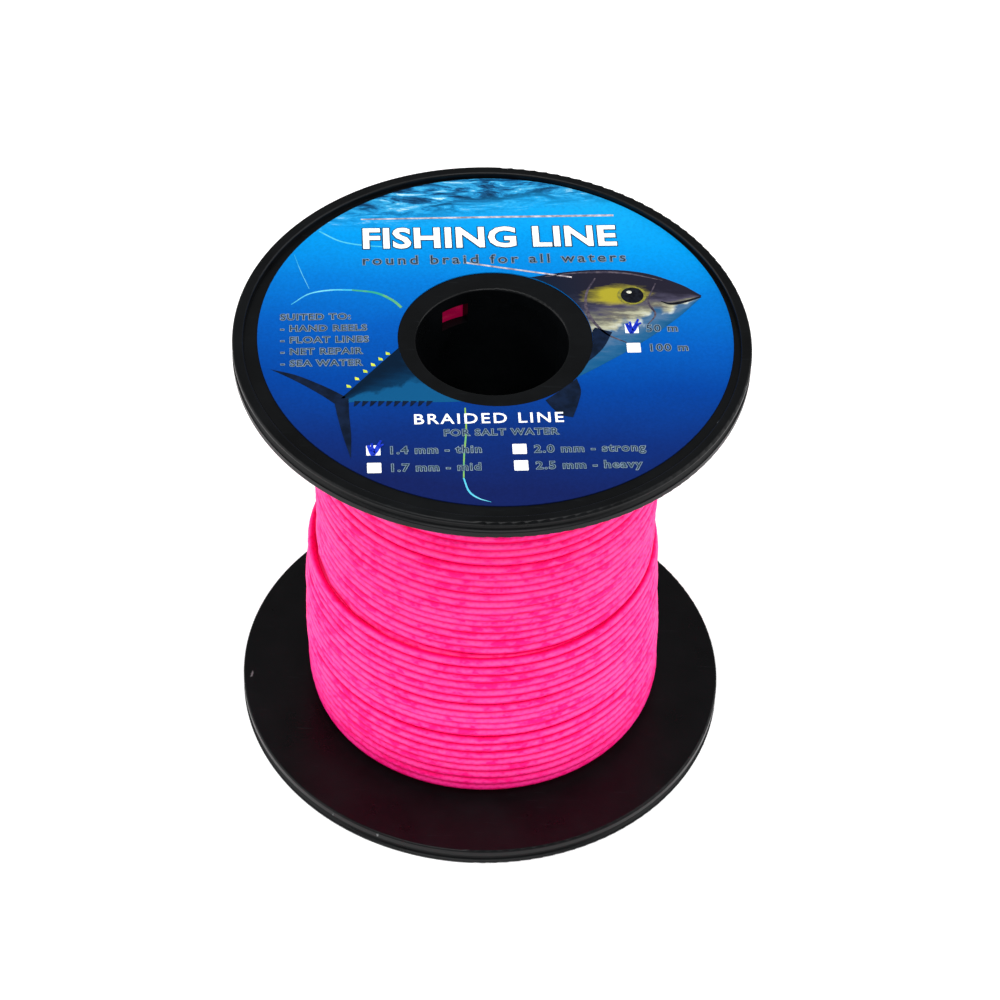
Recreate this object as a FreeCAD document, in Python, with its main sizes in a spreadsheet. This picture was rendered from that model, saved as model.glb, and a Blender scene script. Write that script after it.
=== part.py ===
import FreeCAD, Part
import os
import Sketcher

# Spool for 50 m of braided fishing line: a drum tube between two equal flanges, a printed label on the
# upper flange, and the line wound on the drum. Millimetres, +Z along the spool's axis, the origin at the
# centre of the rim that the spool stands on.

doc = FreeCAD.newDocument("line_spool")
sheet = doc.addObject("Spreadsheet::Sheet", "dims")

DIMENSIONS = [
    ("overall_height", 71.8, "rim face to rim face"),
    ("flange_diameter", 72.0, "across the rim"),
    ("edge_height", 2.85, "rim face to the flange's inner face"),
    ("rim_width", 1.55, "raised ring round the outer face"),
    ("recess_depth", 1.0, "rim face down to the label's seat"),
    ("rim_round", 0.35, "rounding of the rim's two corners"),
    ("inner_round", 0.3, "rounding of the inner face's corner"),
    ("groove_height", 1.15, "rim face to the middle of the edge groove"),
    ("groove_radius", 0.7, "section radius of the edge groove"),
    ("groove_depth", 0.55, "depth of the edge groove"),
    ("bore_diameter", 21.2, "hole for the spindle"),
    ("bore_round", 0.3, "rounding of the bore's mouth"),
    ("drum_diameter", 24.0, "outside of the drum tube"),
    ("socket_depth", 0.85, "seat for the tube's end in each flange"),
    ("slot_width", 4.1, "anchor slot, round the drum"),
    ("slot_height", 3.6, "anchor slot, along the drum"),
    ("slot_drop", 0.4, "upper flange's inner face to the slot"),
    ("slot_angle", 121.5, "where the slot is, from +X towards +Y"),
    ("label_diameter", 66.1, "outside of the label"),
    ("label_hole", 27.1, "hole in the label round the bore"),
    ("label_thickness", 0.15, "film and adhesive"),
    ("label_shift_x", 0.44, "the label was stuck on off the axis"),
    ("label_shift_y", 1.18, "the label was stuck on off the axis"),
    ("hole_shift_x", -0.06, "the hole's centre from the label's centre"),
    ("hole_shift_y", -0.68, "the hole's centre from the label's centre"),
    ("line_diameter", 1.4, "braided line"),
    ("layer_nesting", 0.75, "how far a layer stands out from the one below, in line diameters"),
    ("winding_foot", 26.0, "winding radius at the lower flange"),
    ("winding_belly", 26.4, "largest winding radius, in the lower half"),
    ("winding_step", 25.7, "radius where the last layer stops"),
    ("winding_head", 24.85, "winding radius at the upper flange"),
    ("last_layer_top", 33.3, "height where the last layer stops"),
]
for row, (alias, value, meaning) in enumerate(DIMENSIONS, start=1):
    sheet.set(f"A{row}", alias)
    sheet.set(f"B{row}", str(value))
    sheet.set(f"C{row}", meaning)
    sheet.setAlias(f"B{row}", alias)
doc.recompute()


def new_body(label):
    body = doc.addObject("PartDesign::Body", label)
    body.Label = label
    return body


def new_sketch(body, name, role):
    """An empty sketch on one of the body's own origin planes."""
    sketch = body.newObject("Sketcher::SketchObject", name)
    plane = next(feature for feature in body.Origin.OriginFeatures if feature.Role == role)
    sketch.AttachmentSupport = [(plane, "")]
    sketch.MapMode = "FlatFace"
    return sketch


def value_of(expression):
    """The number that an expression on the sheet gives now."""
    result = sheet.evalExpression(expression)
    return float(getattr(result, "Value", result))


def tie_point(sketch, edge, end, place):
    """Holds one end of an edge at a pair of expressions, measured from the sketch's origin."""
    for kind, expression in zip(("DistanceX", "DistanceY"), place):
        number = sketch.addConstraint(
            Sketcher.Constraint(kind, -1, 1, edge, end, value_of(expression)))
        sketch.setExpression(f"Constraints[{number}]", expression)


def draw_outline(sketch, corners):
    """A closed outline through the corners. A corner is (x, y), or (x, y, "via") for an arc's middle."""
    spots = [FreeCAD.Vector(value_of(c[0]), value_of(c[1]), 0) for c in corners]
    stops = [i for i, corner in enumerate(corners) if len(corner) == 2]
    edges = []
    for start, end in zip(stops, stops[1:] + stops[:1]):
        if (end - start) % len(corners) == 1:
            edge = sketch.addGeometry(Part.LineSegment(spots[start], spots[end]), False)
            tie_point(sketch, edge, 1, corners[start])
        else:
            edge = sketch.addGeometry(Part.Arc(spots[start], spots[start + 1], spots[end]), False)
            first = 1 if sketch.getPoint(edge, 1).distanceToPoint(spots[start]) < 1e-6 else 2
            tie_point(sketch, edge, first, corners[start])
            middle = sketch.addGeometry(Part.Point(spots[start + 1]), True)
            tie_point(sketch, middle, 1, corners[start + 1])
            sketch.addConstraint(Sketcher.Constraint("PointOnObject", middle, 1, edge))
        edges.append(edge)
    for edge, after in zip(edges, edges[1:] + edges[:1]):
        ends = [(a, b) for a in (1, 2) for b in (1, 2)
                if sketch.getPoint(edge, a).distanceToPoint(sketch.getPoint(after, b)) < 1e-6]
        sketch.addConstraint(Sketcher.Constraint("Coincident", edge, ends[0][0], after, ends[0][1]))


def turn_outline(body, sketch):
    """The outline turned a full circle about the spool's axis."""
    solid = body.newObject("PartDesign::Revolution", "turned")
    solid.Profile = sketch
    solid.ReferenceAxis = (sketch, ["V_Axis"])
    solid.Angle = 360
    return solid


def round_edges(body, base, radius, expression, rings):
    """Rounds the circular edges that have one of the given (radius, height) pairs."""
    doc.recompute()
    names = []
    for number, edge in enumerate(base.Shape.Edges, start=1):
        for ring_radius, ring_height in rings:
            if (isinstance(edge.Curve, Part.Circle) and abs(edge.Curve.Radius - ring_radius) < 1e-4
                    and abs(edge.Curve.Center.z - ring_height) < 1e-4):
                names.append(f"Edge{number}")
    rounding = body.newObject("PartDesign::Fillet", radius)
    rounding.Base = (base, names)
    rounding.setExpression("Radius", expression)
    return rounding


def make_flange(label):
    """One moulded flange, in its own frame: rim face at height 0, inner face at edge_height."""
    body = new_body(label)
    rim = "dims.flange_diameter / 2"
    recess = "dims.flange_diameter / 2 - dims.rim_width"
    bore = "dims.bore_diameter / 2"
    drum = "dims.drum_diameter / 2"
    seat = "dims.edge_height - dims.socket_depth"

    outline = new_sketch(body, "half_section", "XZ_Plane")
    draw_outline(outline, [
        (bore, "dims.recess_depth"), (recess, "dims.recess_depth"), (recess, "0 * dims.rim_width"),
        (rim, "0 * dims.rim_width"), (rim, "dims.edge_height"), (drum, "dims.edge_height"),
        (drum, seat), (bore, seat)])
    plate = turn_outline(body, outline)

    # A hollow all round the edge, so that a finger grips it.
    section = new_sketch(body, "groove_section", "XZ_Plane")
    middle = ("dims.flange_diameter / 2 - dims.groove_depth + dims.groove_radius", "dims.groove_height")
    centre = FreeCAD.Vector(value_of(middle[0]), value_of(middle[1]), 0)
    section.addGeometry(Part.Circle(centre, FreeCAD.Vector(0, 0, 1), value_of("dims.groove_radius")), False)
    tie_point(section, 0, 3, middle)
    size = section.addConstraint(Sketcher.Constraint("Radius", 0, value_of("dims.groove_radius")))
    section.setExpression(f"Constraints[{size}]", "dims.groove_radius")
    groove = body.newObject("PartDesign::Groove", "edge_groove")
    groove.Profile = section
    groove.ReferenceAxis = (section, ["V_Axis"])
    groove.Angle = 360

    rim_radius = value_of(rim)
    rim_rings = [(rim_radius, 0), (value_of(recess), 0)]
    rounded = round_edges(body, groove, "rim_rounding", "dims.rim_round", rim_rings)
    inner_ring = [(rim_radius, value_of("dims.edge_height"))]
    rounded = round_edges(body, rounded, "inner_rounding", "dims.inner_round", inner_ring)
    mouth = [(value_of(bore), value_of("dims.recess_depth"))]
    rounded = round_edges(body, rounded, "bore_rounding", "dims.bore_round", mouth)
    doc.recompute()
    assert groove.Shape.Volume < plate.Shape.Volume - 1, "the edge groove cuts nothing"
    return body


def make_drum():
    """The tube that carries the line, with the slot where the line is anchored. The slot faces +Y
    until the whole tube is turned to slot_angle."""
    body = new_body("drum")
    rings = new_sketch(body, "tube_section", "XY_Plane")
    for alias in ("drum_diameter", "bore_diameter"):
        radius = value_of(f"dims.{alias} / 2")
        ring = rings.addGeometry(Part.Circle(FreeCAD.Vector(), FreeCAD.Vector(0, 0, 1), radius), False)
        rings.addConstraint(Sketcher.Constraint("Coincident", ring, 3, -1, 1))
        size = rings.addConstraint(Sketcher.Constraint("Radius", ring, radius))
        rings.setExpression(f"Constraints[{size}]", f"dims.{alias} / 2")
    tube = body.newObject("PartDesign::Pad", "tube")
    tube.Profile = rings
    tube.setExpression("Length", "dims.overall_height - 2 * (dims.edge_height - dims.socket_depth)")

    window = new_sketch(body, "slot_outline", "XZ_Plane")
    top = "dims.overall_height - 2 * dims.edge_height + dims.socket_depth - dims.slot_drop"
    low = top + " - dims.slot_height"
    draw_outline(window, [
        ("-dims.slot_width / 2", low), ("dims.slot_width / 2", low),
        ("dims.slot_width / 2", top), ("-dims.slot_width / 2", top)])
    slot = body.newObject("PartDesign::Pocket", "anchor_slot")
    slot.Profile = window
    slot.setExpression("Length", "dims.drum_diameter")
    doc.recompute()
    if slot.Shape.Solids[0].CenterOfMass.y > 0:
        slot.Reversed = True
        doc.recompute()
    assert slot.Shape.Volume < tube.Shape.Volume - 10, "the anchor slot cuts nothing"

    body.Placement = FreeCAD.Placement(FreeCAD.Vector(), FreeCAD.Rotation(FreeCAD.Vector(0, 0, 1), 0))
    body.setExpression("Placement.Base.z", "dims.edge_height - dims.socket_depth")
    body.setExpression("Placement.Rotation.Angle", "(dims.slot_angle - 90) * 1deg")
    return body


def make_label():
    """A printed film ring in the upper recess, neither centred on the spool nor on its own hole."""
    body = new_body("label")
    rings = new_sketch(body, "cut_lines", "XY_Plane")
    outer = rings.addGeometry(
        Part.Circle(FreeCAD.Vector(), FreeCAD.Vector(0, 0, 1), value_of("dims.label_diameter / 2")), False)
    rings.addConstraint(Sketcher.Constraint("Coincident", outer, 3, -1, 1))
    size = rings.addConstraint(Sketcher.Constraint("Radius", outer, value_of("dims.label_diameter / 2")))
    rings.setExpression(f"Constraints[{size}]", "dims.label_diameter / 2")
    middle = ("dims.hole_shift_x", "dims.hole_shift_y")
    centre = FreeCAD.Vector(value_of(middle[0]), value_of(middle[1]), 0)
    hole = rings.addGeometry(
        Part.Circle(centre, FreeCAD.Vector(0, 0, 1), value_of("dims.label_hole / 2")), False)
    tie_point(rings, hole, 3, middle)
    size = rings.addConstraint(Sketcher.Constraint("Radius", hole, value_of("dims.label_hole / 2")))
    rings.setExpression(f"Constraints[{size}]", "dims.label_hole / 2")
    film = body.newObject("PartDesign::Pad", "film")
    film.Profile = rings
    film.setExpression("Length", "dims.label_thickness")
    body.setExpression("Placement.Base.x", "dims.label_shift_x")
    body.setExpression("Placement.Base.y", "dims.label_shift_y")
    body.setExpression("Placement.Base.z", "dims.overall_height - dims.recess_depth")
    return body


def make_winding():
    """The outer shape of the wound line. The last layer covers only the lower half of the drum, so the
    winding is one line diameter thinner above it."""
    body = new_body("wound_line")
    outline = new_sketch(body, "half_section", "XZ_Plane")
    inner = "dims.drum_diameter / 2"
    foot = "dims.edge_height"
    head = "dims.overall_height - dims.edge_height"
    last_turn = "dims.last_layer_top - dims.line_diameter / 2"
    waist = "dims.winding_step - dims.layer_nesting * dims.line_diameter"
    draw_outline(outline, [
        (inner, foot), ("dims.winding_foot", foot),
        ("dims.winding_belly", "dims.last_layer_top / 2", "via"), ("dims.winding_step", last_turn),
        (waist, "dims.last_layer_top"),
        (waist, "(dims.last_layer_top + dims.overall_height) / 2", "via"), ("dims.winding_head", head),
        (inner, head)])
    turn_outline(body, outline)
    return body


def place_upper(body):
    """The upper flange is the lower one turned over."""
    body.Placement = FreeCAD.Placement(FreeCAD.Vector(), FreeCAD.Rotation(FreeCAD.Vector(1, 0, 0), 180))
    body.setExpression("Placement.Base.z", "dims.overall_height")


lower_flange = make_flange("lower_flange")
upper_flange = make_flange("upper_flange")
place_upper(upper_flange)
sub_parts = [lower_flange, make_drum(), upper_flange, make_label(), make_winding()]
doc.recompute()

for item in doc.Objects:
    if "Invalid" in item.State or "Error" in item.State:
        raise RuntimeError(f"{item.Label} failed: {item.State}")
os.makedirs("parts", exist_ok=True)
for body in sub_parts:
    shape = body.Shape
    if shape.isNull() or not shape.isValid() or not shape.Solids:
        raise RuntimeError(f"{body.Label} has no valid solid")
    box = shape.optimalBoundingBox(False)
    print(f"{body.Label}: {shape.Volume:.1f} mm3, x {box.XMin:.2f}..{box.XMax:.2f},"
          f" y {box.YMin:.2f}..{box.YMax:.2f}, z {box.ZMin:.2f}..{box.ZMax:.2f}")
    shape.exportStep(f"parts/{body.Label}.step")
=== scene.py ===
import math
import random

import bpy
import numpy as np
from mathutils import Matrix, Vector


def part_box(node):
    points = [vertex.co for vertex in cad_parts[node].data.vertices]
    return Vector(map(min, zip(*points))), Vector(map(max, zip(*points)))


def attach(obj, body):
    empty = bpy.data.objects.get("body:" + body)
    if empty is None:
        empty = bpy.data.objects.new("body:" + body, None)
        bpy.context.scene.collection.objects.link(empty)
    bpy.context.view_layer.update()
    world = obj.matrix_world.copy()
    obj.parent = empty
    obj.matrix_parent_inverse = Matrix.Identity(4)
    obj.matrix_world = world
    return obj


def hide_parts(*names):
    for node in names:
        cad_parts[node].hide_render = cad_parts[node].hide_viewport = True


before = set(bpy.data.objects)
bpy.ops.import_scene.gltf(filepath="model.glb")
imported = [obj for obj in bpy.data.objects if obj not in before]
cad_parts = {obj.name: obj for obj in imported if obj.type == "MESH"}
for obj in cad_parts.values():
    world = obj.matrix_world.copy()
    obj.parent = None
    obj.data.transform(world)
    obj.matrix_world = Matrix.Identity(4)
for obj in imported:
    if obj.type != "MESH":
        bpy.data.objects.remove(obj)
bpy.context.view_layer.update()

bpy.ops.object.select_all(action="DESELECT")
MM = 0.001

# ---- Flanges and drum ----------------------------------------------------------------------------
# Two equal discs and the tube between them, injection moulded in black high-impact polystyrene and
# pushed together. The CAD shapes are kept. The gloss of the mould has gone dull where hands, other
# spools and the packing have rubbed it.


def linear(colour):
    """An sRGB hex colour as linear red, green, blue and alpha."""
    shares = [int(colour[i:i + 2], 16) / 255 for i in (1, 3, 5)]
    return [c / 12.92 if c <= 0.04045 else ((c + 0.055) / 1.055) ** 2.4 for c in shares] + [1.0]


def add_node(tree, kind, settings=None, stops=None, **sockets):
    """A node with its settings, its colour stops if it has a ramp, and its input sockets, each set to
    a value or linked to another node's socket. An input is named by its words joined with _, or by
    in0, in1."""
    node = tree.nodes.new(kind)
    for key, value in (settings or {}).items():
        setattr(node, key, value)
    if stops:
        ramp = node.color_ramp
        while len(ramp.elements) < len(stops):
            ramp.elements.new(0.5)
        for element, (place, colour) in zip(ramp.elements, stops):
            element.position = place
            element.color = linear(colour)
    for key, value in sockets.items():
        socket = node.inputs[int(key[2:])] if key[2:].isdigit() else node.inputs[key.replace("_", " ")]
        if isinstance(value, bpy.types.NodeSocket):
            tree.links.new(value, socket)
        else:
            socket.default_value = value
    return node


def new_material(name):
    """A material with an empty tree but for its output and one Principled shader."""
    material = bpy.data.materials.new(name)
    material.use_nodes = True
    tree = material.node_tree
    tree.nodes.clear()
    shader = add_node(tree, "ShaderNodeBsdfPrincipled")
    add_node(tree, "ShaderNodeOutputMaterial", Surface=shader.outputs[0])
    return material, tree, shader


def give_material(piece, material):
    piece.data.materials.clear()
    piece.data.materials.append(material)


def black_polystyrene(name, scuffs):
    """Moulded black polystyrene: near black, a soft gloss, faint flow marks and fine rub marks. Each
    scuff is a pale graze at (x, y, height, length, angle), in millimetres and degrees."""
    material, tree, shader = new_material(name)
    place = add_node(tree, "ShaderNodeTexCoord").outputs["Object"]
    millimetres = add_node(tree, "ShaderNodeVectorMath", {"operation": "SCALE"}, in0=place, Scale=1000.0)
    at = millimetres.outputs[0]

    # Handling smears, 8 mm across, change the gloss; the mould's spark grain is 0.25 mm.
    smear = add_node(tree, "ShaderNodeTexNoise", Vector=at, Scale=0.12, Detail=4.0, Roughness=0.6)
    grain = add_node(tree, "ShaderNodeTexNoise", Vector=at, Scale=4.0, Detail=2.0)
    gloss = add_node(tree, "ShaderNodeMapRange", Value=smear.outputs[0], From_Min=0.35, From_Max=0.7,
                     To_Min=0.26, To_Max=0.4)
    shade = add_node(tree, "ShaderNodeValToRGB", stops=[(0.3, "#050607"), (0.75, "#0a0c0e")],
                     Fac=smear.outputs[0])
    colour, roughness = shade.outputs[0], gloss.outputs[0]

    # Fine rub marks: a stretched noise, cut so that only its crests show.
    turned = add_node(tree, "ShaderNodeMapping", Vector=at, Rotation=(0.3, 0.2, 0.7),
                      Scale=(0.25, 5.0, 5.0))
    rubs = add_node(tree, "ShaderNodeTexNoise", Vector=turned.outputs[0], Scale=1.0, Detail=1.0)
    rubbed = add_node(tree, "ShaderNodeMapRange", Value=rubs.outputs[0], From_Min=0.7, From_Max=0.78)
    colour = add_node(tree, "ShaderNodeMix", {"data_type": "RGBA"}, in0=rubbed.outputs[0], in6=colour,
                      in7=linear("#131618")).outputs[2]

    for x, y, height, length, angle in scuffs:
        moved = add_node(tree, "ShaderNodeMapping", {"vector_type": "TEXTURE"}, Vector=at,
                         Location=(x, y, height), Rotation=(0, 0, math.radians(angle)),
                         Scale=(length, 0.28 * length, 0.9))
        far = add_node(tree, "ShaderNodeVectorMath", {"operation": "LENGTH"}, in0=moved.outputs[0])
        chips = add_node(tree, "ShaderNodeTexNoise", Vector=at, Scale=3.2, Detail=3.0)
        soft = add_node(tree, "ShaderNodeMath", {"operation": "MULTIPLY_ADD"}, in0=chips.outputs[0],
                        in1=1.6, in2=far.outputs["Value"])
        graze = add_node(tree, "ShaderNodeMapRange", Value=soft.outputs[0], From_Min=1.35, From_Max=0.95,
                         To_Max=0.4)
        colour = add_node(tree, "ShaderNodeMix", {"data_type": "RGBA"}, in0=graze.outputs[0], in6=colour,
                          in7=linear("#a9adb0")).outputs[2]
        roughness = add_node(tree, "ShaderNodeMath", {"operation": "MULTIPLY_ADD", "use_clamp": True},
                             in0=graze.outputs[0], in1=0.4, in2=roughness).outputs[0]

    bump = add_node(tree, "ShaderNodeBump", Height=grain.outputs[0], Strength=0.06, Distance=0.02 * MM)
    tree.links.new(colour, shader.inputs["Base Color"])
    tree.links.new(roughness, shader.inputs["Roughness"])
    tree.links.new(bump.outputs[0], shader.inputs["Normal"])
    shader.inputs["IOR"].default_value = 1.5
    shader.inputs["Specular IOR Level"].default_value = 0.14
    return material


spool_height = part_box("upper_flange")[1].z
flange_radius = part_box("upper_flange")[1].x
flange_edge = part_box("lower_flange")[1].z
upper_scuffs = [(31.2, -14.2, 70.9, 1.1, 62), (34.9, -8.2, 71.4, 0.8, 75)]
lower_scuffs = [(-34.6, -3.6, 2.9, 1.2, 80), (-20.6, -29.4, 1.8, 0.9, 40), (-14.0, -33.2, 2.2, 0.8, 20)]
give_material(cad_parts["upper_flange"], black_polystyrene("black_polystyrene_upper", upper_scuffs))
give_material(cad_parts["lower_flange"], black_polystyrene("black_polystyrene_lower", lower_scuffs))
give_material(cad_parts["drum"], black_polystyrene("black_polystyrene_drum", []))

# ---- Wound line ----------------------------------------------------------------------------------
# 50 m of round braid, 1.4 mm thick, in fluorescent pink polyethylene, machine wound under light tension.
# It starts in the slot near the drum's top, fills nine layers down and up, and its tenth layer stops
# half way up. Tension presses the turns a little flat against each other.

line_diameter = 1.4 * MM
slot_angle = math.radians(121.5)
first_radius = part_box("drum")[1].x + line_diameter / 2
last_full_radius = 24.1 * MM
lowest_turn = flange_edge + line_diameter / 2
highest_turn = spool_height - flange_edge - line_diameter / 2
turn_pitch = 1.5 * MM
full_layers = 9
hidden_layers = full_layers - 1
turns_a_hidden_layer = 45.7
# The ninth layer shows down to just above the step, where the tenth one ends.
step_height = 32.6 * MM
step_gap = 0.3 * MM
foot_gap = 0.2 * MM
# How far apart two layers lie, in line diameters: the eighth and ninth, and the ninth and tenth.
ninth_layer_step = 0.82
tenth_layer_step = 0.68
# The share of a turn in which the line climbs onto the layer below.
climb_turn = 0.35
# The tenth layer swells most a fifth of the way up. It leans to the right at its foot and to the left
# above, and back at its foot: each lean is two heights and how far the winding is out at them.
belly_swell = 0.68 * MM
belly_power = 0.4
lean_sideways = ((6 * MM, 24 * MM), (0.3 * MM, -0.31 * MM))
lean_back = ((4 * MM, 12 * MM), (0.4 * MM, 0))
# A turn's push in and out, as a share of how far it wanders up and down.
push_share = 0.8
dice = random.Random(14)


def uneven_steps(turns, spread):
    """Heights from 0 to 1 at each whole turn, with the turns unevenly close."""
    steps = [1 + spread * dice.uniform(-1, 1) for _ in range(max(2, round(turns)))]
    sums = np.concatenate([[0], np.cumsum(steps)])
    return sums / sums[-1]


def add_layer(route, angle, turns, points, radii, heights, spread, wander):
    """Adds one layer's turns to the route and gives the angle where it ends. radii are those of the
    layer below and of this one, how far its belly swells near the foot, and how much it leans: to
    the right and back at its foot, to the left above."""
    below, radius, swell, lean = radii
    marks = uneven_steps(turns, spread)
    swing = [dice.uniform(0, 2 * math.pi) for _ in range(len(marks) + 2)]
    lift = [dice.uniform(-1, 1) for _ in range(len(marks) + 2)]
    for i in range(round(turns * points)):
        turn = i / points
        share = turn / turns
        climb = min(1.0, turn / climb_turn)
        climb = climb * climb * (3 - 2 * climb)
        height = heights[0] + (heights[1] - heights[0]) * np.interp(share * (len(marks) - 1),
                                                                   range(len(marks)), marks)
        whole = int(turn)
        part = turn - whole
        rise = (1 - part) * lift[whole] + part * lift[whole + 1]
        around = angle + 2 * math.pi * turn
        sway = (1 - part) * math.sin(around + swing[whole]) + part * math.sin(around + swing[whole + 1])
        height += wander * sway
        out = below + (radius - below) * climb + push_share * wander * rise
        out += swell * math.sin(math.pi * share ** belly_power)
        out += lean * math.cos(around) * np.interp(height, *lean_sideways)
        out += lean * math.sin(around) * np.interp(height, *lean_back)
        out /= math.cos(math.pi / points)
        height = min(max(height, lowest_turn), highest_turn)
        route.append((out * math.cos(around), out * math.sin(around), height))
    return angle + 2 * math.pi * turns


# The eighth layer lies close enough under the ninth for the two to nest, with no daylight between.
eighth_radius = last_full_radius - ninth_layer_step * line_diameter
layer_radii = [first_radius + (eighth_radius - first_radius) * k / (full_layers - 2)
               for k in range(hidden_layers)]
layer_radii.append(last_full_radius)
outer_radius = last_full_radius + tenth_layer_step * line_diameter


def turns_to(angle, turns, stop):
    """The turns nearest to those given that bring the line from an angle to the angle stop. stop is in
    degrees."""
    past = (math.degrees(angle) / 360 + turns - stop / 360) % 1.0
    return turns - past if past < 0.5 else turns + 1 - past


# Twelve points a turn where layers above hide the line, three times as many where it shows. Every
# change of layer after the hidden ones lies at the back, within 30 degrees of its middle.
hidden_points = 12
seen_points = 36
# The line comes through the slot: its radius, its angle past the slot and its height at three points.
entry = [(11.35, -7, 67.3), (11.6, -2, 67.5), (12.2, 4, 67.7)]
first_turn_past_slot = 10
first_turn_height = 67.85 * MM
route = []
for radius, past, height in entry:
    around = slot_angle + math.radians(past)
    route.append((radius * MM * math.cos(around), radius * MM * math.sin(around), height * MM))
angle = slot_angle + math.radians(first_turn_past_slot)
inner_turns = turns_to(angle, hidden_layers * turns_a_hidden_layer, 80) / hidden_layers
ends = (first_turn_height, lowest_turn)
for k, radius in enumerate(layer_radii[:-1]):
    below = layer_radii[k - 1] if k else radius
    angle = add_layer(route, angle, inner_turns, hidden_points, (below, radius, 0, 0), ends,
                      spread=0.06, wander=0.04 * MM)
    ends = (lowest_turn, highest_turn) if k % 2 == 0 else (highest_turn, lowest_turn)
shown = step_height + step_gap
seen_turns = turns_to(angle, (highest_turn - shown) / turn_pitch, 100)
angle = add_layer(route, angle, seen_turns, seen_points, (layer_radii[-2], last_full_radius, 0, 0.2),
                  (highest_turn, shown), spread=0.2, wander=0.16 * MM)
hidden_turns = turns_to(angle, (step_height - lowest_turn) / turn_pitch, 60)
angle = add_layer(route, angle, hidden_turns, hidden_points, (last_full_radius, last_full_radius, 0, 0),
                  (step_height, lowest_turn), spread=0.05, wander=0.03 * MM)
last_turns = turns_to(angle, (step_height - lowest_turn) / turn_pitch, 96)
angle = add_layer(route, angle, last_turns, seen_points, (last_full_radius, outer_radius, belly_swell, 1),
                  (lowest_turn + foot_gap, step_height), spread=0.3, wander=0.2 * MM)

curve = bpy.data.curves.new("line_route", "CURVE")
curve.dimensions = "3D"
curve.resolution_u = 2
spline = curve.splines.new("NURBS")
spline.points.add(len(route) - 1)
spline.points.foreach_set("co", [x for point in route for x in (*point, 1.0)])
spline.order_u = 3
spline.use_endpoint_u = True
guide = bpy.data.objects.new("line_route", curve)
drawn = bpy.data.meshes.new_from_object(guide)
path = np.array([v.co for v in drawn.vertices])
bpy.data.objects.remove(guide)

# The tube: eight sides, wider along the drum than across it, with the braid's run in its UV map.
sides = 8
half_depth = 0.44 * line_diameter
half_width = 0.52 * line_diameter
tangent = np.gradient(path, axis=0)
tangent /= np.linalg.norm(tangent, axis=1)[:, None]
outward = path * [1, 1, 0]
outward /= np.linalg.norm(outward, axis=1)[:, None]
outward -= (outward * tangent).sum(1)[:, None] * tangent
outward /= np.linalg.norm(outward, axis=1)[:, None]
sideways = np.cross(tangent, outward)
turned = np.arange(sides) / sides * 2 * math.pi
across = half_depth * np.cos(turned)[None, :, None] * outward[:, None]
along = half_width * np.sin(turned)[None, :, None] * sideways[:, None]
rings = (path[:, None] + across + along).reshape(-1, 3)
count = len(path)
first = np.arange(count - 1)[:, None] * sides + np.arange(sides)[None]
after = np.arange(count - 1)[:, None] * sides + (np.arange(sides)[None] + 1) % sides
quads = np.stack([first, after, after + sides, first + sides], axis=-1).reshape(-1, 4)
caps = [list(range(sides))[::-1], [(count - 1) * sides + i for i in range(sides)]]
mesh = bpy.data.meshes.new("line")
mesh.from_pydata(rings.tolist(), [], quads.tolist() + caps)
mesh.shade_smooth()
run = np.concatenate([[0], np.cumsum(np.linalg.norm(np.diff(path, axis=0), axis=1))])
u = np.repeat(np.stack([run[:-1], run[:-1], run[1:], run[1:]], axis=-1)[:, None], sides, axis=1)
v = np.stack([np.arange(sides), np.arange(sides) + 1, np.arange(sides) + 1, np.arange(sides)], axis=-1)
v = np.broadcast_to(v / sides, (count - 1, sides, 4))
uv = np.concatenate([np.stack([u, v], axis=-1).reshape(-1, 2), np.zeros((2 * sides, 2))])
mesh.uv_layers.new(name="braid").data.foreach_set("uv", uv.ravel())
line = bpy.data.objects.new("line", mesh)
bpy.context.scene.collection.objects.link(line)

material, tree, shader = new_material("fluorescent_braid")
# Eight carriers plait once in 5 mm, so a crossing comes every 0.63 mm. It is drawn at 1.25 mm, as
# coarse as it needs to be to show.
plait_repeat = 2.5 * MM
braid = add_node(tree, "ShaderNodeUVMap", {"uv_map": "braid"}).outputs[0]
parts = add_node(tree, "ShaderNodeSeparateXYZ", Vector=braid)
turns = add_node(tree, "ShaderNodeMath", {"operation": "MULTIPLY"}, in0=parts.outputs[0],
                 in1=2 * math.pi / plait_repeat)
across = add_node(tree, "ShaderNodeMath", {"operation": "MULTIPLY"}, in0=parts.outputs[1],
                  in1=4 * math.pi)
crests = []
for operation in ("ADD", "SUBTRACT"):
    spiral = add_node(tree, "ShaderNodeMath", {"operation": operation}, in0=turns.outputs[0],
                      in1=across.outputs[0])
    wave = add_node(tree, "ShaderNodeMath", {"operation": "SINE"}, in0=spiral.outputs[0])
    crest = add_node(tree, "ShaderNodeMath", {"operation": "ABSOLUTE"}, in0=wave.outputs[0])
    crests.append(crest.outputs[0])
plait = add_node(tree, "ShaderNodeMath", {"operation": "MAXIMUM"}, in0=crests[0], in1=crests[1])
# The speckle is dye that took unevenly: dashes 2 mm long, a third of the way round the braid.
stretch = add_node(tree, "ShaderNodeMapping", Vector=braid, Scale=(500.0, 3.0, 1.0))
speckle = add_node(tree, "ShaderNodeTexNoise", Vector=stretch.outputs[0], Scale=1.0, Detail=2.0,
                   Roughness=0.6)
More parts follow.
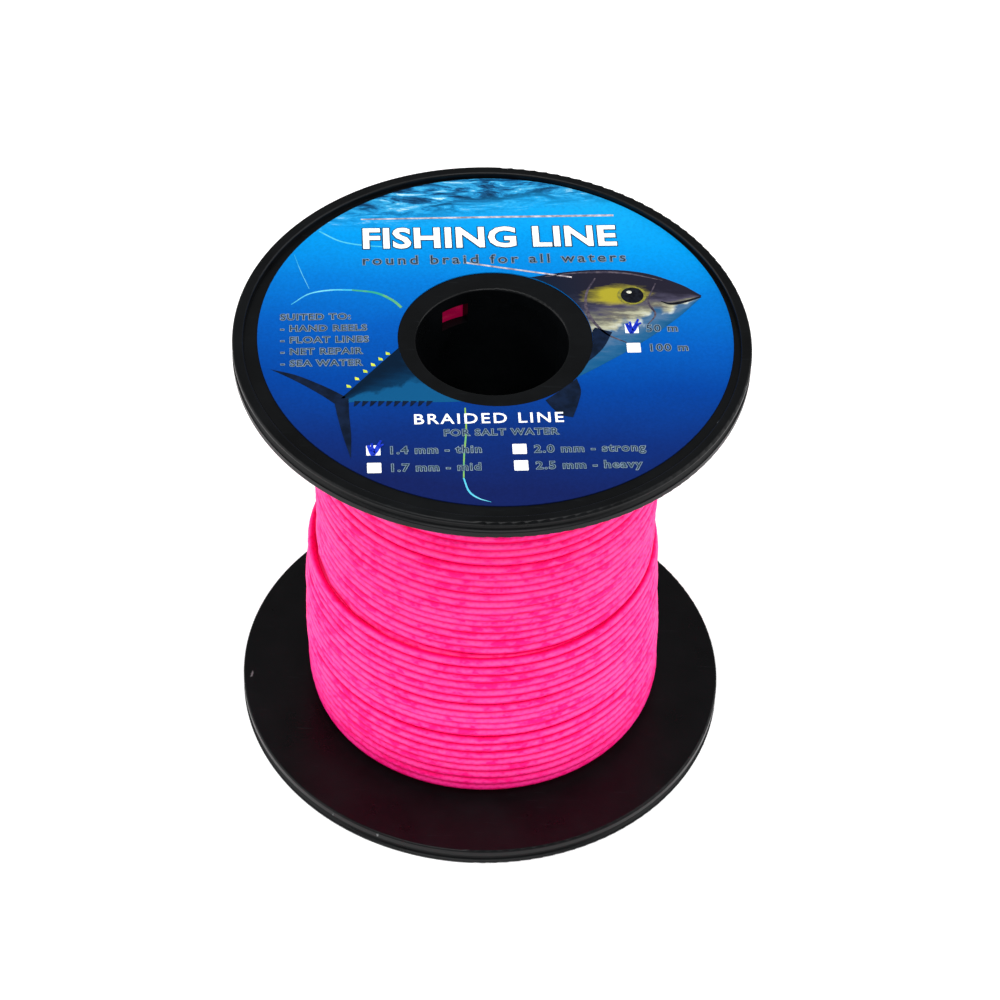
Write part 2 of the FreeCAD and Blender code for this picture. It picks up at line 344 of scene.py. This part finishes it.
# Fresher dye, where the turns have rubbed less, lies in patches 7 mm long and 2 mm high.
object_place = add_node(tree, "ShaderNodeTexCoord").outputs["Object"]
patch_place = add_node(tree, "ShaderNodeMapping", Vector=object_place, Scale=(150.0, 150.0, 480.0))
patches = add_node(tree, "ShaderNodeTexNoise", Vector=patch_place.outputs[0], Scale=1.0, Detail=3.0)
both = add_node(tree, "ShaderNodeMath", {"operation": "MULTIPLY_ADD"}, in0=patches.outputs[0], in1=0.7,
                in2=speckle.outputs[0])
dye = add_node(tree, "ShaderNodeValToRGB", Fac=both.outputs[0],
               stops=[(0.76, "#ff4c9a"), (0.9, "#ff3c94"), (1.0, "#f6187c")])
# The crown of each turn is painted paler than its flanks: painted shade on the flanks, where the
# turns touch, and a painted highlight on the crown, a little above the middle, where light falls from
# above. The edge between the painted shade and the painted highlight wanders along the line.
shade_edge_place = add_node(tree, "ShaderNodeMapping", Vector=braid, Scale=(90.0, 0.0, 1.0))
shade_edge_noise = add_node(tree, "ShaderNodeTexNoise", Vector=shade_edge_place.outputs[0], Scale=1.0, Detail=2.0)
# roll shifts where the painted highlight and painted shade lie round each turn.
roll = add_node(tree, "ShaderNodeMath", {"operation": "MULTIPLY_ADD"}, in0=shade_edge_noise.outputs[0], in1=1.0,
                in2=-0.1)
angle_round = add_node(tree, "ShaderNodeMath", {"operation": "MULTIPLY_ADD"}, in0=parts.outputs[1],
                       in1=2 * math.pi, in2=roll.outputs[0])
round_line = add_node(tree, "ShaderNodeMath", {"operation": "COSINE"}, in0=angle_round.outputs[0])
painted_turn_shade = add_node(tree, "ShaderNodeValToRGB", Fac=round_line.outputs[0],
                 stops=[(0.36, "#dc0096"), (0.55, "#f428b4"), (0.82, "#ffa0e6"), (0.97, "#ffffff")])
turn_shaded = add_node(tree, "ShaderNodeMix", {"data_type": "RGBA", "blend_type": "MULTIPLY"}, in0=1.0,
                   in6=dye.outputs[0], in7=painted_turn_shade.outputs[0])
# The grooves between the plait's carriers are painted a quarter darker: painted shade.
plait_shaded = add_node(tree, "ShaderNodeMix", {"data_type": "RGBA", "blend_type": "MULTIPLY"}, in0=0.25,
                in6=turn_shaded.outputs[2])
tree.links.new(plait.outputs[0], plait_shaded.inputs[7])
# The turns near the lower flange are painted deeper, from 11 mm down to 3 mm: painted shade at the foot
# of the winding.
place_parts = add_node(tree, "ShaderNodeSeparateXYZ", Vector=object_place)
painted_foot_shade = add_node(tree, "ShaderNodeMapRange", Value=place_parts.outputs[2], From_Min=11 * MM,
                     From_Max=3 * MM)
foot_shaded = add_node(tree, "ShaderNodeMix", {"data_type": "RGBA", "blend_type": "MULTIPLY"},
                  in0=painted_foot_shade.outputs[0], in6=plait_shaded.outputs[2], in7=linear("#d064cc"))
# The first turns, which lie in the drum's bore, are painted darker: painted shade. The tube's two end
# caps get it too.
bore_shade = add_node(tree, "ShaderNodeMapRange", Value=parts.outputs[0], From_Min=0.45, From_Max=0.35)
bore_shaded = add_node(tree, "ShaderNodeMix", {"data_type": "RGBA", "blend_type": "MULTIPLY"},
                 in0=bore_shade.outputs[0], in6=foot_shaded.outputs[2], in7=linear("#6a4a5c"))
bump = add_node(tree, "ShaderNodeBump", Height=plait.outputs[0], Strength=0.35, Distance=0.08 * MM)
tree.links.new(bore_shaded.outputs[2], shader.inputs["Base Color"])
tree.links.new(bump.outputs[0], shader.inputs["Normal"])
shader.inputs["Roughness"].default_value = 0.55
shader.inputs["IOR"].default_value = 1.5
# The pink emission is painted light: a glow that stands in for the line's fluorescence and keeps its
# shaded turns bright.
shader.inputs["Emission Color"].default_value = linear("#ff0068")
shader.inputs["Emission Strength"].default_value = 0.16
shader.inputs["Specular IOR Level"].default_value = 0.08
shader.inputs["Sheen Weight"].default_value = 0.03
shader.inputs["Sheen Roughness"].default_value = 0.4
shader.inputs["Sheen Tint"].default_value = linear("#ff80c0")
give_material(line, material)

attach(line, "root")
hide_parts("wound_line")

# ---- Label ---------------------------------------------------------------------------------------
# A disc of coated paper printed in four colours with a picture of the sea, and stuck in the upper
# flange's recess a little out of centre. Its print stands 4.6 degrees round from the front.

label_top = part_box("label")[1].z
print_turn = math.radians(4.6)
film = 0.02 * MM
hole_centre = np.array([0.38, 0.5])
hole_radius = 13.55

material, tree, shader = new_material("printed_sea")
place = add_node(tree, "ShaderNodeTexCoord").outputs["Object"]
# The print's own millimetres, turned so that its horizon is level.
level_print = add_node(tree, "ShaderNodeMapping", {"vector_type": "TEXTURE"}, Vector=place,
                       Rotation=(0, 0, print_turn), Scale=(MM, MM, MM)).outputs[0]
parts = add_node(tree, "ShaderNodeSeparateXYZ", Vector=level_print)
# Clouded water, 25 mm across, bends the depth at which the blue turns.
cloud = add_node(tree, "ShaderNodeTexNoise", Vector=level_print, Scale=0.04, Detail=3.0, Roughness=0.5)
bent = add_node(tree, "ShaderNodeMath", {"operation": "MULTIPLY_ADD"}, in0=cloud.outputs[0], in1=9.0,
                in2=parts.outputs[1])
slant = add_node(tree, "ShaderNodeMath", {"operation": "MULTIPLY_ADD"}, in0=parts.outputs[0], in1=-0.12,
                 in2=bent.outputs[0])
# The water is darker to the left, where it is deeper.
sunk = add_node(tree, "ShaderNodeMath", {"operation": "MULTIPLY_ADD"}, in0=parts.outputs[0], in1=0.2,
                in2=slant.outputs[0])
depth = add_node(tree, "ShaderNodeMapRange", Value=sunk.outputs[0], From_Min=-24.5, From_Max=43.5)
sea = add_node(tree, "ShaderNodeValToRGB", Fac=depth.outputs[0],
               stops=[(0.0, "#0e1c52"), (0.14, "#08276a"), (0.3, "#003a8c"), (0.44, "#0051a8"),
                      (0.6, "#006ec0"), (0.74, "#008ed8"), (0.86, "#109cdc"), (0.94, "#2084bc"),
                      (1.0, "#24668f")])
# The surface seen from below: ripples 6 mm long and 1.6 mm high, and their dark troughs.
ripple_place = add_node(tree, "ShaderNodeMapping", Vector=level_print, Location=(3.1, 1.7, 0),
                        Scale=(0.16, 0.62, 1.0))
ripples = add_node(tree, "ShaderNodeTexNoise", Vector=ripple_place.outputs[0], Scale=1.0, Detail=8.0,
                   Roughness=0.68, Distortion=0.9)
surface = add_node(tree, "ShaderNodeValToRGB", Fac=ripples.outputs[0],
                   stops=[(0.4, "#0a2140"), (0.46, "#17527f"), (0.52, "#2389c0"), (0.58, "#3fa6d3"),
                          (0.66, "#c2e6f2")])
near = add_node(tree, "ShaderNodeMapRange", Value=slant.outputs[0], From_Min=29.5, From_Max=35.0,
                To_Max=0.95)
water = add_node(tree, "ShaderNodeMix", {"data_type": "RGBA"}, in0=near.outputs[0], in6=sea.outputs[0],
                 in7=surface.outputs[0])
# The printer's dots, finer than can be seen, are drawn 0.4 mm across as a faint mottle.
mottle = add_node(tree, "ShaderNodeTexNoise", Vector=level_print, Scale=2.5, Detail=2.0)
dots = add_node(tree, "ShaderNodeMapRange", Value=mottle.outputs[0], From_Min=0.3, From_Max=0.7,
                To_Min=0.9, To_Max=1.06)
printed = add_node(tree, "ShaderNodeVectorMath", {"operation": "SCALE"}, in0=water.outputs[2],
                   Scale=dots.outputs[0])
tree.links.new(printed.outputs[0], shader.inputs["Base Color"])
shader.inputs["Roughness"].default_value = 0.42
shader.inputs["Specular IOR Level"].default_value = 0.06
give_material(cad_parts["label"], material)

# ---- Label print: the fish -----------------------------------------------------------------------
# A plain tunny, printed on the sea in ink 0.02 mm thick: dark back, yellow cheek, pale belly. Each
# shape is a grid stretched between two smooth edges, in millimetres on the label, and given thickness.


def smooth(points, count):
    """count + 1 places along a smooth curve through the points."""
    p = np.array(points, float)
    p = np.vstack([2 * p[0] - p[1], p, 2 * p[-1] - p[-2]])
    t = np.linspace(0, len(points) - 1, count + 1)
    i = np.minimum(t.astype(int), len(points) - 2)
    f = (t - i)[:, None]
    a, b, c, d = p[i], p[i + 1], p[i + 2], p[i + 3]
    return 0.5 * (2 * b + (c - a) * f + (2 * a - 5 * b + 4 * c - d) * f ** 2
                  + (3 * b - a - 3 * c + d) * f ** 3)


def lay_print(piece, material, level):
    """Gives a flat printed piece its ink's thickness and material, and puts it on the label."""
    bpy.context.view_layer.objects.active = piece
    solid = piece.modifiers.new("ink", "SOLIDIFY")
    solid.thickness = film
    solid.offset = 1
    bpy.ops.object.modifier_apply(modifier=solid.name)
    piece.data.transform(Matrix.Translation((0, 0, label_top + (level - 1) * film)))
    give_material(piece, material)
    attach(piece, "root")
    piece.select_set(False)


def print_band(name, first, second, size, material, level):
    """A printed shape between two edges, each a list of points. What the hub covers is cut away."""
    columns, rows = size
    bpy.ops.mesh.primitive_grid_add(x_subdivisions=columns, y_subdivisions=rows, size=1)
    piece = bpy.context.object
    piece.name = name
    first, second = smooth(first, columns), smooth(second, columns)
    covered = set()
    for vertex in piece.data.vertices:
        column = round((vertex.co.x + 0.5) * columns)
        share = vertex.co.y + 0.5
        at = first[column] * (1 - share) + second[column] * share
        gap = np.linalg.norm(at - hole_centre)
        if gap < hole_radius:
            covered.add(vertex.index)
            at = hole_centre + (at - hole_centre) * hole_radius / gap
        vertex.co = (at[0] * MM, at[1] * MM, 0)
    if covered:
        bpy.ops.object.mode_set(mode="EDIT")
        bpy.ops.mesh.select_all(action="DESELECT")
        bpy.ops.object.mode_set(mode="OBJECT")
        for face in piece.data.polygons:
            face.select = covered.issuperset(face.vertices)
        bpy.ops.object.mode_set(mode="EDIT")
        bpy.ops.mesh.delete(type="FACE")
        bpy.ops.mesh.select_all(action="SELECT")
        bpy.ops.mesh.delete_loose()
        bpy.ops.object.mode_set(mode="OBJECT")
    bpy.ops.object.mode_set(mode="EDIT")
    bpy.ops.mesh.select_all(action="SELECT")
    bpy.ops.mesh.remove_doubles(threshold=0.004 * MM)
    bpy.ops.mesh.normals_make_consistent(inside=False)
    bpy.ops.object.mode_set(mode="OBJECT")
    if piece.data.polygons[0].normal.z < 0:
        piece.data.flip_normals()
    lay_print(piece, material, level)


def print_stroke(name, points, widths, material, level):
    """A printed line through the points. Its width, in millimetres, goes from end to middle to end."""
    count = 12 * (len(points) - 1)
    middle_line = smooth(points, count)
    slope = np.gradient(middle_line, axis=0)
    slope /= np.linalg.norm(slope, axis=1)[:, None]
    aside = np.stack([-slope[:, 1], slope[:, 0]], axis=-1)
    width = np.interp(np.linspace(0, 2, count + 1), [0, 1, 2], widths)[:, None] / 2
    print_band(name, middle_line - aside * width, middle_line + aside * width, (count, 1), material,
               level)


def ink(name, colour, other, grain, roughness=0.4):
    """Printing ink whose shade wanders between two colours in patches of grain, in millimetres."""
    material, tree, shader = new_material(name)
    place = add_node(tree, "ShaderNodeTexCoord").outputs["Object"]
    wander = add_node(tree, "ShaderNodeTexNoise", Vector=place, Scale=1 / (grain * MM), Detail=3.0)
    shade = add_node(tree, "ShaderNodeValToRGB", Fac=wander.outputs[0],
                     stops=[(0.38, colour), (0.62, other)])
    tree.links.new(shade.outputs[0], shader.inputs["Base Color"])
    shader.inputs["Roughness"].default_value = roughness
    shader.inputs["Specular IOR Level"].default_value = 0.06
    return material


material, tree, shader = new_material("printed_fish")
uv = add_node(tree, "ShaderNodeUVMap", {"uv_map": "UVMap"}).outputs[0]
place = add_node(tree, "ShaderNodeTexCoord").outputs["Object"]
parts = add_node(tree, "ShaderNodeSeparateXYZ", Vector=uv)
along_fish, up_fish = parts.outputs[0], parts.outputs[1]
# Mottled skin: blotches 4 mm by 1 mm, drawn out along the fish, with finer flecks in them.
drawn = add_node(tree, "ShaderNodeMapping", Vector=place, Rotation=(0, 0, -0.45),
                 Scale=(260.0, 900.0, 1.0))
blotch = add_node(tree, "ShaderNodeTexNoise", Vector=drawn.outputs[0], Scale=1.0, Detail=5.0,
                  Roughness=0.65)
raised = add_node(tree, "ShaderNodeMath", {"operation": "MULTIPLY_ADD"}, in0=blotch.outputs[0], in1=0.5,
                  in2=up_fish)
skin = add_node(tree, "ShaderNodeValToRGB", Fac=raised.outputs[0],
                stops=[(0.2, "#103654"), (0.36, "#6d93a8"), (0.48, "#d3dcda"), (0.6, "#a9a98f"),
                       (0.7, "#66645a"), (0.8, "#454255"), (0.92, "#2b2937"), (1.0, "#1f1d2a")])
# Water hides the hind half: it goes from deep blue at the tail to clear past the hub.
blue = add_node(tree, "ShaderNodeValToRGB", Fac=raised.outputs[0],
                stops=[(0.35, "#0a3f60"), (0.6, "#053050"), (0.85, "#041f38"), (1.0, "#04182c")])
clear = add_node(tree, "ShaderNodeMapRange", Value=along_fish, From_Min=0.52, From_Max=0.68)
body_colour = add_node(tree, "ShaderNodeMix", {"data_type": "RGBA"}, in0=clear.outputs[0],
                       in6=blue.outputs[0], in7=skin.outputs[0])
# The yellow cheek, 9 mm by 4 mm, round the eye and behind it.
cheek_place = add_node(tree, "ShaderNodeMapping", {"vector_type": "TEXTURE"}, Vector=place,
                       Location=(17.3 * MM, 10.3 * MM, 0), Rotation=(0, 0, 0.12),
                       Scale=(4.6 * MM, 2.0 * MM, 1))
cheek_far = add_node(tree, "ShaderNodeVectorMath", {"operation": "LENGTH"}, in0=cheek_place.outputs[0])
ragged = add_node(tree, "ShaderNodeMath", {"operation": "MULTIPLY_ADD"}, in0=blotch.outputs[0], in1=1.2,
                  in2=cheek_far.outputs["Value"])
cheek = add_node(tree, "ShaderNodeMapRange", Value=ragged.outputs[0], From_Min=1.75, From_Max=1.15)
with_cheek = add_node(tree, "ShaderNodeMix", {"data_type": "RGBA"}, in0=cheek.outputs[0],
                      in6=body_colour.outputs[2], in7=linear("#9c922a"))
# The sea's blue glances off the lower belly.
glance = add_node(tree, "ShaderNodeTexNoise", Vector=place, Scale=420.0, Detail=3.0)
low_part = add_node(tree, "ShaderNodeMapRange", Value=up_fish, From_Min=0.62, From_Max=0.1)
glances = add_node(tree, "ShaderNodeMath", {"operation": "MULTIPLY"}, in0=glance.outputs[0],
                   in1=low_part.outputs[0])
glance_share = add_node(tree, "ShaderNodeMapRange", Value=glances.outputs[0], From_Min=0.22,
                        From_Max=0.32, To_Max=0.9)
fish_colour = add_node(tree, "ShaderNodeMix", {"data_type": "RGBA"}, in0=glance_share.outputs[0],
                       in6=with_cheek.outputs[2], in7=linear("#0c4f7c"))
tree.links.new(fish_colour.outputs[2], shader.inputs["Base Color"])
shader.inputs["Roughness"].default_value = 0.4
shader.inputs["Specular IOR Level"].default_value = 0.06
fish_ink = material

deep_ink = ink("printed_deep_blue", "#0a1424", "#101d34", 1.5)
olive_ink = ink("printed_olive", "#8d8630", "#6a6a34", 0.5)
black_ink = ink("printed_black", "#0b0c12", "#171a22", 0.6)
pale_ink = ink("printed_pale_skin", "#e9e4d4", "#b9bcae", 0.7)
yellow_ink = ink("printed_yellow", "#d9e24a", "#a8c23a", 0.5)
grey_ink = ink("printed_grey_skin", "#35313f", "#5a525c", 0.6)

belly_edge = [(-20.4, -13.7), (-16.5, -13.1), (-11, -12.9), (-4, -12.4), (4, -10.8), (10.5, -7.6),
              (16.5, -3.0), (21.8, 1.8), (26, 6.4), (28.9, 10.3)]
back_edge = [(-20.2, -12.7), (-17.2, -8.4), (-13.4, -3.0), (-8, 4.5), (-1, 10.5), (5.5, 13.4),
             (13.5, 15.3), (20.5, 15.2), (25.8, 13.2), (29.1, 10.9)]
print_band("print_fish_body", belly_edge, back_edge, (120, 40), fish_ink, 1)
print_band("print_fish_tail_upper", [(-19.6, -12.4), (-22.5, -10.6), (-26.5, -8.6), (-30.2, -7.6)],
           [(-20.6, -14.2), (-23.0, -12.2), (-26.6, -9.7), (-30.2, -7.6)], (24, 2), deep_ink, 1)
print_band("print_fish_tail_lower", [(-19.2, -12.6), (-18.9, -16.0), (-18.4, -20.0), (-18.2, -24.2)],
           [(-21.2, -13.0), (-20.4, -16.6), (-19.4, -20.4), (-18.2, -24.2)], (24, 2), deep_ink, 2)
print_band("print_fish_belly_fin", [(7.6, -11.5), (8.6, -13.0), (9.8, -14.2), (11.4, -14.6)],
           [(11.8, -7.0), (12.4, -9.4), (12.0, -12.2), (11.4, -14.6)], (16, 2), deep_ink, 2)
print_band("print_fish_breast_fin", [(14.2, 3.4), (12.6, 0.6), (10.4, -3.0), (8.0, -7.4)],
           [(16.6, 2.6), (15.2, -1.0), (12.4, -4.4), (8.0, -7.4)], (16, 2), deep_ink, 2)
finlets = smooth([(-14.3, -3.6), (-16.7, -6.6), (-19.3, -10.4)], 5)
for number, (x, y) in enumerate(finlets):
    print_band(f"print_fish_finlet_{number + 1}", [(x - 0.25, y - 0.2), (x + 0.35, y - 0.2)],
               [(x - 0.35, y + 0.4), (x + 0.2, y + 0.2)], (3, 2), yellow_ink, 2)
under = smooth([(-8.2, -12.9), (-18.0, -13.5)], 9)
for number, (x, y) in enumerate(under):
    print_band(f"print_fish_under_finlet_{number + 1}", [(x - 0.4, y - 0.75), (x - 0.1, y - 0.55)],
               [(x - 0.35, y + 0.35), (x + 0.5, y + 0.35)], (3, 2), deep_ink, 2)
print_stroke("print_fish_gill", [(14.1, 13.6), (12.9, 10.2), (13.2, 6.2), (15.6, 2.4), (18.6, 0.6)],
             (0.2, 0.5, 0.15), grey_ink, 2)
print_stroke("print_fish_cheek_line", [(22.6, 13.0), (21.6, 9.2), (22.6, 6.6), (21.4, 4.2)],
             (0.15, 0.35, 0.1), grey_ink, 2)
print_stroke("print_fish_mouth", [(29.0, 10.6), (26.8, 9.5), (24.8, 8.9), (23.4, 9.3)],
             (0.3, 0.55, 0.15), black_ink, 2)
print_stroke("print_fish_back_glint", [(7.0, 13.5), (12.0, 14.6), (18.0, 14.9), (23.6, 13.7)],
             (0.1, 0.4, 0.1), grey_ink, 2)


def print_disc(name, centre, radius, material, level, stretch=1.0):
    bpy.ops.mesh.primitive_circle_add(vertices=32, radius=radius * MM, fill_type="NGON")
    piece = bpy.context.object
    piece.name = name
    piece.data.transform(Matrix.Diagonal((stretch, 1, 1, 1)))
    piece.data.transform(Matrix.Translation((centre[0] * MM, centre[1] * MM, 0)))
    bpy.ops.object.mode_set(mode="EDIT")
    bpy.ops.mesh.select_all(action="SELECT")
    bpy.ops.mesh.inset(thickness=0.2 * radius * MM)
    bpy.ops.object.mode_set(mode="OBJECT")
    piece.location = (0, 0, 0)
    lay_print(piece, material, level)


print_disc("print_fish_eye_rim", (19.3, 10.3), 1.9, olive_ink, 3, 1.08)
print_disc("print_fish_eye", (19.35, 10.3), 1.6, black_ink, 4)
print_disc("print_fish_eye_glint", (18.9, 10.9), 0.28, pale_ink, 5, 1.3)

# ---- Label print: lines in the water -------------------------------------------------------------
# Four loose lines and two straight rods, printed on the sea under the words.

cyan_ink = ink("printed_cyan", "#3fb0d0", "#6fcadb", 2.0)
lime_ink = ink("printed_lime", "#8fb23a", "#2f9a80", 3.0)
rod_ink = ink("printed_rod", "#c9c2c6", "#857c86", 1.0)
print_stroke("print_line_left", [(-28.3, 5.6), (-26, 7.9), (-23, 8.9), (-20, 9.1)],
             (0.1, 0.25, 0.3), cyan_ink, 1)
print_stroke("print_line_left_end", [(-20, 9.1), (-16.6, 8.7), (-14.2, 7.3), (-12.9, 5.9)],
             (0.3, 0.45, 0.4), lime_ink, 1)
print_stroke("print_line_top", [(-25.4, 21.2), (-22.4, 19.3), (-19.2, 18.6), (-15, 18.4)],
             (0.2, 0.25, 0.2), cyan_ink, 1)
print_stroke("print_line_low", [(-3.3, -13.6), (-3.0, -18), (-3.1, -22.5), (-3.0, -27)],
             (0.2, 0.25, 0.2), lime_ink, 1)
print_stroke("print_line_low_end", [(-3.0, -27), (-2.2, -29.4), (-0.9, -30.6), (0.8, -31.2)],
             (0.22, 0.28, 0.06), cyan_ink, 1)
print_stroke("print_line_faint", [(-28.6, 16.0), (-27.4, 12.5), (-26.0, 9.0)],
             (0.05, 0.08, 0.05), cyan_ink, 1)
print_stroke("print_rod_long", [(-19.6, 24.1), (-1.6, 25.7), (16.6, 27.2)],
             (0.25, 0.35, 0.4), rod_ink, 1)
print_stroke("print_rod_short", [(-4.6, 15.8), (3.0, 14.7), (10.8, 13.6)], (0.3, 0.3, 0.25), rod_ink, 2)

# ---- Label print: words and boxes ----------------------------------------------------------------
# Plain sans-serif words that say what the line is, and the boxes for its length and thickness. The
# two that hold for this spool are ticked with a blue ball pen.

white_ink = ink("printed_white", "#ffffff", "#eef3f5", 0.5)
word_ink = ink("printed_word_dark", "#1b2b3c", "#2a3d4f", 0.4)
edge_ink = ink("printed_word_edge", "#7f93a3", "#62798c", 0.4)
pen_ink = ink("ball_pen_blue", "#0c1f9c", "#2440c0", 0.4, 0.3)
capital_share = 0.73


def print_words(name, words, corner, height, material, level, bold=0.0, spread=1.0, gap=1.0):
    """Words whose capitals are height millimetres high, from the lower left corner of the first line."""
    bpy.ops.object.text_add()
    piece = bpy.context.object
    piece.name = name
    text = piece.data
    text.body = words
    text.size = height * MM / capital_share
    text.space_character = spread
    text.space_line = gap
    text.offset = bold * MM
    text.extrude = film / 2
    text.resolution_u = 3
    bpy.ops.object.convert(target="MESH")
    piece = bpy.context.object
    bpy.ops.object.mode_set(mode="EDIT")
    bpy.ops.mesh.select_all(action="SELECT")
    bpy.ops.mesh.remove_doubles(threshold=0.1 * film)
    bpy.ops.object.mode_set(mode="OBJECT")
    at = Vector((corner[0] * MM, corner[1] * MM, label_top + (level - 0.5) * film))
    piece.data.transform(Matrix.Translation(at) @ Matrix.Rotation(print_turn, 4, "Z"))
    give_material(piece, material)
    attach(piece, "root")
    piece.select_set(False)


def print_edged(name, words, corner, height, spread=1.0, gap=1.0):
    """Dark words over the same words drawn fatter and paler, as an edge."""
    print_words(name + "_edge", words, corner, height, edge_ink, 3, 0.1, spread, gap)
    print_words(name, words, corner, height, word_ink, 4, 0.0, spread, gap)


print_words("print_title_shade", "FISHING LINE", (-19.2, 17.9), 4.3, word_ink, 3, 0.3, 1.04)
print_words("print_title", "FISHING LINE", (-19.2, 17.9), 4.3, white_ink, 4, 0.16, 1.04)
print_edged("print_subtitle", "round braid for all waters", (-18.9, 14.4), 1.9, 1.32)
print_edged("print_uses", "SUITED TO:\n- HAND REELS\n- FLOAT LINES\n- NET REPAIR\n- SEA WATER",
            (-29.6, 2.3), 1.25, 1.12, 1.36)
print_words("print_kind", "BRAIDED LINE", (-10.2, -17.2), 2.0, white_ink, 3, 0.03, 1.2)
print_edged("print_float", "FOR SALT WATER", (-6.0, -19.2), 1.25, 1.15)


box_side = 1.9 * MM


def print_box(name, corner, words, ticked):
    """A white box with its words beside it, ticked or not. corner is the box's middle."""
    bpy.ops.mesh.primitive_grid_add(x_subdivisions=2, y_subdivisions=2, size=box_side)
    piece = bpy.context.object
    piece.name = name
    bpy.ops.object.mode_set(mode="EDIT")
    bpy.ops.mesh.select_all(action="SELECT")
    bpy.ops.mesh.bevel(offset=0.1 * MM, segments=2, affect="VERTICES")
    bpy.ops.object.mode_set(mode="OBJECT")
    turn = Matrix.Rotation(print_turn, 4, "Z")
    middle_place = Vector((corner[0] * MM, corner[1] * MM, 0))
    piece.data.transform(Matrix.Translation(middle_place) @ turn)
    lay_print(piece, white_ink, 3)
    print_edged(name + "_words", words, (corner[0] + 2.0, corner[1] - 0.55), 1.45, 1.15)
    if ticked:
        x, y = corner
        print_stroke(name + "_tick", [(x - 0.75, y + 0.9), (x - 0.1, y - 0.75), (x + 0.25, y - 0.1),
                                      (x + 0.9, y + 1.9)], (0.45, 0.65, 0.3), pen_ink, 5)
        print_stroke(name + "_tick_again", [(x - 0.3, y + 1.3), (x + 0.1, y - 0.5), (x + 0.7, y + 0.6),
                                            (x + 1.3, y + 1.2)], (0.3, 0.6, 0.25), pen_ink, 6)


print_box("print_box_50_m", (19.3, 3.5), "50 m", True)
print_box("print_box_100_m", (19.6, -0.4), "100 m", False)
print_box("print_box_1_4", (-15.3, -22.5), "1.4 mm - thin", True)
print_box("print_box_1_7", (-15.0, -25.8), "1.7 mm - mid", False)
print_box("print_box_2_0", (4.3, -21.1), "2.0 mm - strong", False)
print_box("print_box_2_5", (4.6, -24.2), "2.5 mm - heavy", False)

# ---- Floor, light and camera ---------------------------------------------------------------------
# A pale matt table that runs past the view, big soft lamps at both sides and above, and the camera.

bpy.ops.mesh.primitive_plane_add(size=6, location=(0, 0, 0))
floor = bpy.context.object
floor.name = "floor"
material, tree, shader = new_material("pale_table")
shader.inputs["Base Color"].default_value = linear("#f7f7f7")
shader.inputs["Roughness"].default_value = 0.8
shader.inputs["Emission Color"].default_value = linear("#ffffff")
shader.inputs["Emission Strength"].default_value = 0.3
give_material(floor, material)

middle = Vector((0, 0, spool_height / 2))
lamps = [("left_lamp", (-0.85, -0.05, 0.35), 1.1, 8.5), ("right_lamp", (0.85, -0.05, 0.35), 1.1, 8.5),
         ("top_lamp", (0.0, -0.3, 0.9), 0.7, 7.0)]
for name, place, size, watts in lamps:
    bpy.ops.object.light_add(type="AREA", location=place)
    lamp = bpy.context.object
    lamp.name = name
    lamp.data.size = size
    lamp.data.energy = watts
    lamp.rotation_euler = (middle - Vector(place)).to_track_quat("-Z", "Y").to_euler()

world = bpy.data.worlds.new("studio")
bpy.context.scene.world = world
world.use_nodes = True
world.node_tree.nodes["Background"].inputs[0].default_value = linear("#ffffff")
world.node_tree.nodes["Background"].inputs[1].default_value = 0.3
bpy.context.scene.view_settings.view_transform = "Standard"

# The camera looks down at the spool and is turned a little on its own axis. It stands aside from and
# above the line through the spool's middle by these shares of its distance.
elevation = math.radians(45.845)
roll = math.radians(2.308)
share_aside = 0.00396
share_above = 0.00441
ahead = Vector((0, math.cos(elevation), -math.sin(elevation)))
level = Vector((1, 0, 0))
upright = level.cross(ahead)
right = level * math.cos(roll) + upright * math.sin(roll)
up = upright * math.cos(roll) - level * math.sin(roll)
distance = 14.288 * flange_radius
place = middle - ahead * distance + (share_aside * right + share_above * up) * distance
camera = bpy.data.objects.new("camera", bpy.data.cameras.new("camera"))
bpy.context.scene.collection.objects.link(camera)
camera.matrix_world = Matrix.Translation(place) @ Matrix((right, up, -ahead)).transposed().to_4x4()
camera.data.lens = 127.13
camera.data.sensor_width = 36
camera.data.clip_start = 0.01
camera.data.clip_end = 20
bpy.context.scene.camera = camera
